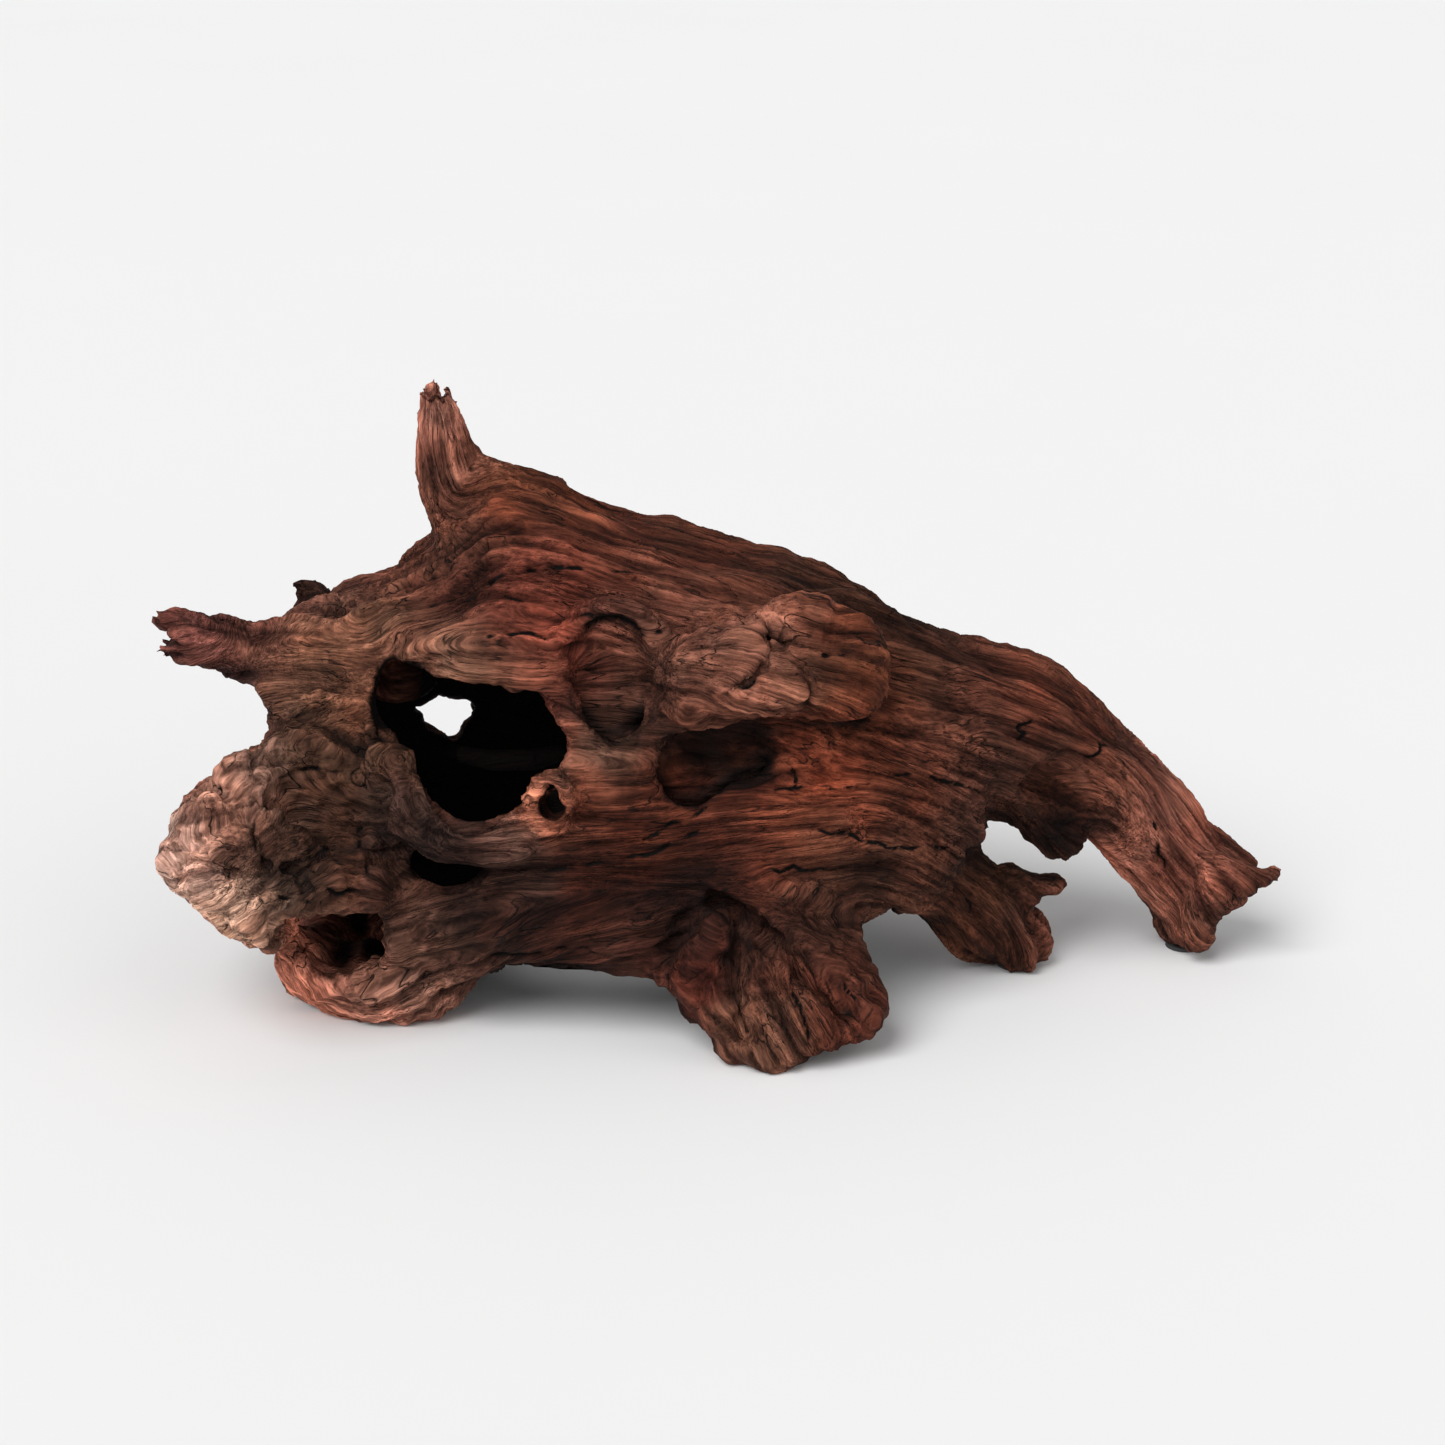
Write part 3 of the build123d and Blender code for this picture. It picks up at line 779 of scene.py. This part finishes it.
def relief(places, inner, flow):
    """How far the bark stands out, grain coordinates for the paint, and the fibres' two layers."""
    grain = grain_of(places)
    wander = wandering(places / 40, 0, 50, 90)
    grain = grain + wander * (6, 4, 4)
    coarse = np.zeros(len(places), np.float32)
    fine = np.zeros(len(places), np.float32)
    outer = np.flatnonzero(inner < 0.9)
    coarse[outer], fine[outer] = brushed(places[outer], flow)
    torn = chunkiness(places)
    ropes = layered(grain / (90, 15, 15), 2)
    splits = np.exp(-(noise(grain / (46, 7.0, 7.0) + 70) / 0.06) ** 2)
    splits *= np.clip(noise(places / 22 + 3) * 4 + 0.2, 0, 1)
    lumps = noise(places / 34 + 11)
    chunks = np.clip(ridged(places / 16 + wander), -1, 1) + 0.7 * np.clip(ridged(places / 7.5 + 30), -1, 1)
    pitting = noise(places / 3.4)
    along = 1.9 * ropes + 1.0 * coarse + 0.50 * fine - 1.3 * splits
    height = along * (1 - 0.5 * torn) + torn * (2.0 * chunks + 0.9 * pitting) + 2.6 * lumps + 0.3 * pitting
    height = (height * (1 - 0.5 * inner)).astype(np.float32)
    return height, grain, coarse, fine


def insideness(places, normals):
    """1 on the walls of the cave, 0 outside."""
    best = np.full(len(places), 1e9)
    facing = np.zeros(len(places))
    for name in ("cave_left", "cave_middle", "cave_right", "open_underside"):
        low, high = OPENING[name]
        low = np.array((low[0], low[1], 4.0)) if name == "open_underside" else low
        nearest = np.clip(places, low, high)
        offset = nearest - places
        gap = np.linalg.norm(offset, axis=1) + 1e-3
        closer = gap < best
        best[closer] = gap[closer]
        facing[closer] = ((offset * normals).sum(1) / gap)[closer]
    inside = np.clip(facing * 2.0 + 0.2, 0, 1) * np.clip((42 - best) / 10, 0, 1)
    return np.maximum(inside, best < 0.5).astype(np.float32)


def paint_zones():
    """Where the painted tone changes: a place, its reach in millimetres and the colour; some rows are
    painted shade, as marked.
    """
    # A near-black tone. On the low front wall it is partly that wall's dark paint and partly painted shade,
    # as the wall faces down; under the arch over the front foot it is painted shade.
    painted_shade_tone = (0.0045, 0.0016, 0.0012)
    return [
        (trunk(0.10, 0.2, 0.70), 34, (0.164, 0.070, 0.041)),
        (trunk(0.34, 0.2, 0.78), 36, (0.116, 0.026, 0.0166)),
        (trunk(0.28, 0.2, 0.66), 18, (0.315, 0.151, 0.095)),
        (trunk(0.34, 0.9, 0.95), 30, (0.097, 0.028, 0.0127)),
        (trunk(0.58, 0.9, 0.86), 32, (0.074, 0.020, 0.0107)),
        (trunk(0.82, 0.9, 0.70), 32, (0.033, 0.0124, 0.0063)),
        (trunk(0.56, 0.2, 0.78), 24, (0.143, 0.054, 0.036)),
        # Painted shade: near black in a hollow.
        (trunk(0.49, 0.1, 0.68), 15, (0.0067, 0.0024, 0.0012)),
        (trunk(0.49, 0.1, 0.52), 14, (0.088, 0.053, 0.037)),
        (brow(0.40, 0.2, 0.5), 24, (0.185, 0.071, 0.046)),
        (brow(0.90, 0.3, 0.4), 22, (0.050, 0.0126, 0.0043)),
        # Painted shade: near black in a hollow.
        (trunk(0.620, 0.30, 0.485), 19, (0.0010, 0.0011, 0.0010)),
        (trunk(0.55, 0.1, 0.42), 20, (0.114, 0.025, 0.0115)),
        (trunk(0.78, 0.2, 0.46), 26, (0.229, 0.051, 0.024)),
        (trunk(0.46, 0.1, 0.32), 18, (0.045, 0.0100, 0.0042)),
        # Painted shade along the low front wall, over its dark paint.
        (trunk(0.40, 0.1, 0.18), 34, painted_shade_tone),
        (trunk(0.60, 0.1, 0.24), 24, painted_shade_tone),
        (trunk(0.84, 0.2, 0.24), 26, (0.050, 0.022, 0.0138)),
        (burl(0.66, 0.40, 0.84), 26, (0.0200, 0.0085, 0.0042)),
        (burl(0.64, 0.22, 0.58), 24, (0.0130, 0.0048, 0.0026)),
        (burl(0.30, 0.3, 0.82), 20, (0.350, 0.186, 0.138)),
        (burl(0.08, 0.2, 0.50), 17, (0.576, 0.348, 0.278)),
        (burl(0.47, 0.05, 0.62), 11, (0.026, 0.011, 0.007)),
        (burl(0.28, 0.0, 0.22), 15, (0.609, 0.367, 0.262)),
        (burl(0.62, 0.0, 0.20), 20, (0.110, 0.050, 0.032)),
        (rim(0.3, 0.2, 0.5), 16, (0.052, 0.027, 0.022)),
        (rim(0.9, 0.2, 0.1), 12, (0.098, 0.060, 0.048)),
        (spot("mouth_knot", 0.5, 0.2, 0.5), 12, (0.582, 0.203, 0.122)),
        (left_foot(0.5, 0.2, 0.10), 26, (0.441, 0.178, 0.123)),
        (left_foot(0.9, 0.2, 0.75), 20, (0.070, 0.030, 0.020)),
        (foot(0.10, 0.1, 0.4), 18, (0.029, 0.0041, 0.0022)),
        (foot(0.45, 0.1, 0.2), 14, (0.115, 0.055, 0.035)),
        (foot(0.75, 0.1, 0.3), 18, (0.069, 0.0174, 0.0094)),
        # Painted shade under the arch over the front foot.
        (foot(0.45, 0.1, 0.95), 18, painted_shade_tone),
        (leg(0.25, 0.4, 0.85), 30, (0.083, 0.025, 0.0143)),
        (leg(0.40, 0.2, 0.62), 18, (0.150, 0.052, 0.032)),
        (leg(0.66, 0.3, 0.42), 26, (0.309, 0.111, 0.076)),
        (leg(0.92, 0.4, 0.15), 24, (0.095, 0.029, 0.0172)),
        # Painted shade: the hanging root, which hangs back in shade under the leg, made near black.
        (hanging(0.5, 0.3, 0.5), 20, (0.0007, 0.0007, 0.0003)),
        (fork(0.5, 0.3, 0.4), 26, (0.048, 0.0169, 0.0087)),
        (fork(0.85, 0.3, 0.35), 12, (0.105, 0.042, 0.030)),
        (twig(0.5, 0.5, 0.8), 9, (0.030, 0.014, 0.010)),
        (stub(0.2, 0.4, 0.8), 18, (0.577, 0.213, 0.149)),
        (stub(0.5, 0.4, 0.2), 18, (0.100, 0.040, 0.028)),
        (left_stub(0.3, 0.4, 0.5), 22, (0.090, 0.030, 0.025)),
        (rear(0.3, 1.0, 0.5), 50, (0.110, 0.042, 0.028)),
        (rear(0.7, 1.0, 0.5), 50, (0.130, 0.048, 0.032)),
        (rear(0.4, 1.0, 0.1), 36, (0.040, 0.017, 0.012)),
        (rear_foot(0.5, 1.0, 0.3), 26, (0.120, 0.050, 0.035)),
    ]


def painted_hollow_shade():
    """Hollows darkened nearly to black as painted shade: a place, its reach and how much is taken away."""
    return [
        (trunk(0.620, 0.28, 0.485), 16, 0.85),
        (trunk(0.680, 0.24, 0.510), 12, 0.80),
        (trunk(0.489, 0.15, 0.690), 19, 0.60),
        (hanging(0.5, 0.2, 0.45), 17, 0.70),
    ]


BASE_TONE = (0.0140, 0.0052, 0.0036)       # already times its small weight, 0.08


def tone_of(places):
    """The painted tone, blended from the zones, in patches with uneven edges, then darkened nearly to black
    in the hollows as painted shade.
    """
    drift = wandering(places / PATCH, 0, 33, 66) * PATCH
    weights = np.full(len(places), 0.08)
    total = np.full((len(places), 3), BASE_TONE)
    for place, reach, colour in paint_zones():
        weight = np.exp(-(((places + drift - place) / reach) ** 2).sum(1))
        total += weight[:, None] * np.array(colour)
        weights += weight
    tone = total / weights[:, None]
    # Painted shade: the tone is darkened nearly to black in the hollows.
    for place, reach, share in painted_hollow_shade():
        tone *= 1 - share * np.exp(-(((places + 0.5 * drift - place) / reach) ** 2).sum(1))[:, None]
    return tone


def occlusion(field, places, normals):
    """0 in the open, 1 deep in a hollow."""
    total = 0.0
    for reach, weight in ((2.5, 0.3), (6, 0.35), (12, 0.35)):
        clear = sample(field, places + normals * reach)
        total = total + weight * np.clip(1 - clear / reach, 0, 1)
    return total


def surface_of(values, first):
    """Points and quads of one piece's field; values start at the voxel first."""
    grid = openvdb.FloatGrid(float(BAND))
    grid.copyFromArray(np.ascontiguousarray(values), ijk=tuple(int(i) for i in first))
    points, quads = grid.convertToQuads(isovalue=0.0)
    return points * VOXEL + ORIGIN, quads


def piece_field(index, body, own_field, order, nearest, second):
    """The part of the body that belongs to one casting, with a hidden overlap at its joints."""
    others = np.where(order == index, second, nearest)
    border = (own_field - others) * 0.5
    return np.maximum(body + SINK * np.maximum(border, 0), border - OVERLAP)


def new_object(name, data):
    thing = bpy.data.objects.new(name, data)
    bpy.context.scene.collection.objects.link(thing)
    return thing


def mesh_object(name, places, quads, layers):
    mesh = bpy.data.meshes.new(name)
    mesh.vertices.add(len(places))
    mesh.vertices.foreach_set("co", (places / 1000.0).astype(np.float32).ravel())
    mesh.loops.add(quads.size)
    mesh.loops.foreach_set("vertex_index", quads[:, ::-1].astype(np.int32).ravel())
    mesh.polygons.add(len(quads))
    mesh.polygons.foreach_set("loop_start", np.arange(0, quads.size, 4, dtype=np.int32))
    mesh.polygons.foreach_set("use_smooth", np.ones(len(quads), bool))
    mesh.update(calc_edges=True)
    mesh.validate()
    for label, data in layers.items():
        kind = "FLOAT" if data.ndim == 1 else "FLOAT_VECTOR"
        layer = mesh.attributes.new(label, kind, "POINT")
        layer.data.foreach_set("value" if data.ndim == 1 else "vector", data.astype(np.float32).ravel())
    return new_object(name, mesh)


def build_piece(index, body, own, order, nearest, second, cracks, flow, material):
    name = CASTINGS[index]
    low, high = BOX[name]
    cut, _ = window_of(low - MARGIN, high + MARGIN)
    values = piece_field(index, body[cut], own[name][cut], order[cut], nearest[cut], second[cut])
    places, quads = surface_of(values, [c.start for c in cut])
    normals = outward(body, places)
    inner = insideness(places, normals)
    height, grain, coarse, fine = relief(places, inner, flow)
    crack = gap_to_cracks(places, cracks)
    height = height - CRACK_DEPTH * np.clip(1 - crack / CRACK_REACH, 0, 1) * (1 - inner)
    layers = {"grain": grain / 1000.0, "relief": height, "shade": occlusion(body, places, normals),
              "crack": crack, "inner": inner, "tone": tone_of(places), "rope": coarse, "fibre": fine}
    places = places + normals * height[:, None]
    places[:, 2] = np.maximum(places[:, 2], SOLE_HEIGHT)
    piece = mesh_object(name + "_cast", places, quads, layers)
    piece.data.materials.append(material)
    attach(piece, "root")
    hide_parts(name)


def build_castings(material):
    own, body = build_fields()
    body = blurred(body)
    for shape in (shape_limbs, shape_skirt, shape_burl, shape_left_foot, shape_window, shape_mouth,
                  shape_brow, shape_front_foot, shape_back, break_ends):
        shape(body)
    stack = np.stack([own[name] for name in CASTINGS])
    order = stack.argmin(0).astype(np.int8)
    two = np.partition(stack, 1, axis=0)[:2]
    del stack
    cracks = crack_lines(body)
    flow = flow_field(body)
    for index in range(len(CASTINGS)):
        build_piece(index, body, own, order, two[0], two[1], cracks, flow, material)


# ---- materials ----
class Paint:
    """A material under construction, and the shader nodes it is made of."""

    def __init__(self, name):
        self.material = bpy.data.materials.new(name)
        self.material.use_nodes = True
        self.tree = self.material.node_tree
        self.tree.nodes.clear()
        self.surface = self.node("ShaderNodeBsdfPrincipled", {})
        self.node("ShaderNodeOutputMaterial", {"Surface": self.surface.outputs["BSDF"]})

    def fill(self, node, inputs):
        """Each input gets a value, or is linked to another node's output."""
        for key, value in inputs.items():
            if isinstance(value, bpy.types.NodeSocket):
                self.tree.links.new(value, node.inputs[key])
            else:
                node.inputs[key].default_value = value

    def node(self, kind, inputs, **settings):
        node = self.tree.nodes.new(kind)
        for name, value in settings.items():
            setattr(node, name, value)
        self.fill(node, inputs)
        return node

    def attribute(self, name, kind="Fac"):
        return self.node("ShaderNodeAttribute", {}, attribute_name=name).outputs[kind]

    def position(self):
        return self.node("ShaderNodeTexCoord", {}).outputs["Object"]

    def scaled(self, vector, scale):
        return self.node("ShaderNodeVectorMath", {0: vector, 1: scale}, operation="MULTIPLY").outputs[0]

    def maths(self, operation, a, b=0.0):
        return self.node("ShaderNodeMath", {0: a, 1: b}, operation=operation).outputs[0]

    def cloud(self, vector, scale, detail, rough):
        inputs = {"Vector": vector, "Scale": scale, "Detail": detail, "Roughness": rough}
        return self.node("ShaderNodeTexNoise", inputs).outputs["Fac"]

    def ramp(self, value, stops):
        node = self.node("ShaderNodeValToRGB", {"Fac": value})
        elements = node.color_ramp.elements
        while len(elements) < len(stops):
            elements.new(0.5)
        for element, (place, colour) in zip(elements, stops):
            element.position = place
            element.color = (*colour, 1)
        return node.outputs["Color"]

    def contrast(self, value, low, dark, high, light):
        """A tint from dark to light that leaves the middle value alone."""
        return self.ramp(value, [(low, dark), (0.50, (1.0, 1.0, 1.0)), (high, light)])

    def mixed(self, factor, a, b, kind="MIX"):
        inputs = {"Factor": factor, "A": a, "B": b}
        return self.node("ShaderNodeMix", inputs, data_type="RGBA", blend_type=kind).outputs["Result"]

    def spread(self, value, low, high, to_low=0.0, to_high=1.0):
        inputs = {"Value": value, "From Min": low, "From Max": high, "To Min": to_low, "To Max": to_high}
        return self.node("ShaderNodeMapRange", inputs).outputs["Result"]

    def thin_lines(self, value, width):
        """1 along the lines where a cloud passes its middle value."""
        away = self.maths("ABSOLUTE", self.maths("SUBTRACT", value, 0.5))
        return self.spread(away, 0.0, width, 1.0, 0.0)

    def bump(self, height, distance, strength=1.0, below=None):
        inputs = {"Height": height, "Distance": distance, "Strength": strength}
        if below is not None:
            inputs["Normal"] = below
        return self.node("ShaderNodeBump", inputs).outputs["Normal"]


# The first dark darkens the split lines in the grain, and is also painted shade deep in hollows.
DARK_SPLITS_AND_SHADE = (0.010, 0.007, 0.006, 1.0)
CRACK_DARK = (0.004, 0.003, 0.0025, 1.0)
# Painted shade that turns the cave walls near black.
PAINTED_CAVE_SHADE = (0.0025, 0.0020, 0.0018, 1.0)


def root_colour(paint, fibre, strands, threads, splits):
    """The zones' tones, worked over by the fibres and patches, lightened on raised bark and darkened in its
    grooves as painted highlight and painted shade, then darkened along the splits and cracks, and by
    painted shade deep in hollows and on the cave walls.
    """
    rope = paint.spread(paint.attribute("rope"), -2.2, 2.2)
    patches = paint.cloud(paint.position(), 26.0, 4, 0.6)
    heights = paint.spread(paint.attribute("relief"), -4.5, 4.5)
    fibre_tints = [(0.10, (0.50, 0.47, 0.46)), (0.45, (0.94, 0.93, 0.92)), (0.90, (1.50, 1.52, 1.52))]
    # Painted highlight and painted shade: the colour is lighter where the bark stands out and darker in its
    # grooves.
    ridge_highlight_groove_shade = [(0.0, (0.36, 0.34, 0.34)), (0.45, (0.92, 0.91, 0.90)), (1.0, (1.5, 1.46, 1.42))]
    lights = (
        paint.ramp(fibre, fibre_tints),
        paint.contrast(rope, 0.10, (0.76, 0.74, 0.74), 0.90, (1.22, 1.20, 1.16)),
        paint.contrast(strands, 0.36, (0.52, 0.50, 0.49), 0.64, (1.50, 1.54, 1.56)),
        paint.contrast(threads, 0.36, (0.50, 0.48, 0.47), 0.64, (1.50, 1.52, 1.54)),
        paint.contrast(patches, 0.34, (0.66, 0.76, 0.78), 0.66, (1.30, 1.12, 1.05)),
        paint.ramp(heights, ridge_highlight_groove_shade))
    colour = paint.attribute("tone", "Vector")
    for light in lights:
        colour = paint.mixed(1.0, colour, light, "MULTIPLY")
    colour = paint.mixed(paint.maths("MULTIPLY", splits, 0.85), colour, DARK_SPLITS_AND_SHADE)
    # Painted shade: the colour goes towards near black where the occlusion says a spot lies deep in a
    # hollow.
    hollow = paint.spread(paint.attribute("shade"), 0.32, 0.85)
    colour = paint.mixed(paint.maths("MULTIPLY", hollow, 0.92), colour, DARK_SPLITS_AND_SHADE)
    colour = paint.mixed(paint.spread(paint.attribute("crack"), 0.50, 0.05), colour, CRACK_DARK)
    # Painted shade: the walls of the cave go near black.
    inner = paint.maths("MULTIPLY", paint.attribute("inner"), 0.98)
    return paint.mixed(inner, colour, PAINTED_CAVE_SHADE)


def painted_root():
    """Resin painted as weathered red-brown root wood."""
    paint = Paint("painted_root_resin")
    grain = paint.attribute("grain", "Vector")
    fibre = paint.spread(paint.attribute("fibre"), -2.2, 2.2)
    strands = paint.cloud(paint.scaled(grain, (22, 360, 360)), 1.0, 4, 0.62)
    threads = paint.cloud(paint.scaled(grain, (40, 950, 950)), 1.0, 3, 0.65)
    grit = paint.cloud(paint.position(), 900.0, 3, 0.7)
    lines = paint.thin_lines(paint.cloud(paint.scaled(grain, (26, 210, 210)), 1.0, 2, 0.5), 0.018)
    where_split = paint.spread(paint.cloud(paint.position(), 60.0, 2, 0.5), 0.46, 0.60)
    splits = paint.maths("MULTIPLY", lines, where_split)
    normal = paint.bump(fibre, 0.0016)
    normal = paint.bump(strands, 0.0018, 1.0, normal)
    normal = paint.bump(threads, 0.0012, 1.0, normal)
    normal = paint.bump(grit, 0.0003, 0.8, normal)
    normal = paint.bump(paint.spread(splits, 0.0, 1.0, 1.0, 0.0), 0.0010, 1.0, normal)
    paint.fill(paint.surface, {"Base Color": root_colour(paint, fibre, strands, threads, splits),
                               "Roughness": paint.spread(strands, 0.2, 0.8, 0.70, 0.92),
                               "Specular IOR Level": 0.10, "Normal": normal})
    return paint.material


def mottled(name, dark, light, scale, roughness):
    """A plain moulded material with a slight mottle."""
    paint = Paint(name)
    mottle = paint.cloud(paint.position(), scale, 4, 0.5)
    paint.fill(paint.surface, {"Base Color": paint.ramp(mottle, [(0.0, dark), (1.0, light)]),
                               "Roughness": roughness, "Normal": paint.bump(mottle, 0.0003, 0.4)})
    return paint.material


def dress(node, material):
    mesh = frame["nodes"][node].data
    mesh.materials.clear()
    mesh.materials.append(material)


# ---- camera, light and floor ----
FRAME_WIDTH = 0.5202       # what the photographed frame takes in, at the object
DISTANCE = 1.1
ELEVATION = math.radians(20)
TARGET = (-0.0015, -0.0025, 0.097)


def place_camera():
    data = bpy.data.cameras.new("camera")
    data.sensor_width = 36.0
    data.lens = data.sensor_width * DISTANCE / FRAME_WIDTH
    camera = new_object("camera", data)
    back = Vector((0, -math.cos(ELEVATION), math.sin(ELEVATION)))
    camera.location = Vector(TARGET) + back * DISTANCE
    camera.rotation_euler = (math.pi / 2 - ELEVATION, 0, 0)
    bpy.context.scene.camera = camera


def sun(name, direction, energy, spread_degrees):
    data = bpy.data.lights.new(name, "SUN")
    data.energy = energy
    data.angle = math.radians(spread_degrees)
    light = new_object(name, data)
    light.rotation_euler = (-Vector(direction)).to_track_quat("-Z", "Y").to_euler()


def place_lights():
    sun("key", (-0.55, -0.75, 1.0), 2.6, 40)
    sun("fill", (0.9, -0.9, 0.7), 0.5, 60)
    world = bpy.data.worlds.new("studio")
    world.use_nodes = True
    background = world.node_tree.nodes["Background"]
    background.inputs["Color"].default_value = (1, 1, 1, 1)
    background.inputs["Strength"].default_value = 0.42
    bpy.context.scene.world = world


def place_floor():
    mesh = bpy.data.meshes.new("floor")
    reach = 12.0
    corners = [(-reach, -reach, 0), (reach, -reach, 0), (reach, reach, 0), (-reach, reach, 0)]
    mesh.from_pydata(corners, [], [(0, 1, 2, 3)])
    floor = new_object("floor", mesh)
    mesh.materials.append(mottled("floor_paper", (0.81, 0.81, 0.81), (0.83, 0.83, 0.83), 3.0, 1.0))


place_camera()
place_lights()
place_floor()
build_castings(painted_root())
dress("foot_pads", mottled("pad_rubber", (0.02, 0.02, 0.02), (0.05, 0.05, 0.05), 400.0, 0.85))
dowel_plastic = mottled("dowel_plastic", (0.60, 0.57, 0.48), (0.72, 0.69, 0.60), 200.0, 0.5)
for node in DOWELS:
    dress(node, dowel_plastic)

bpy.context.scene.view_settings.view_transform = "Standard"
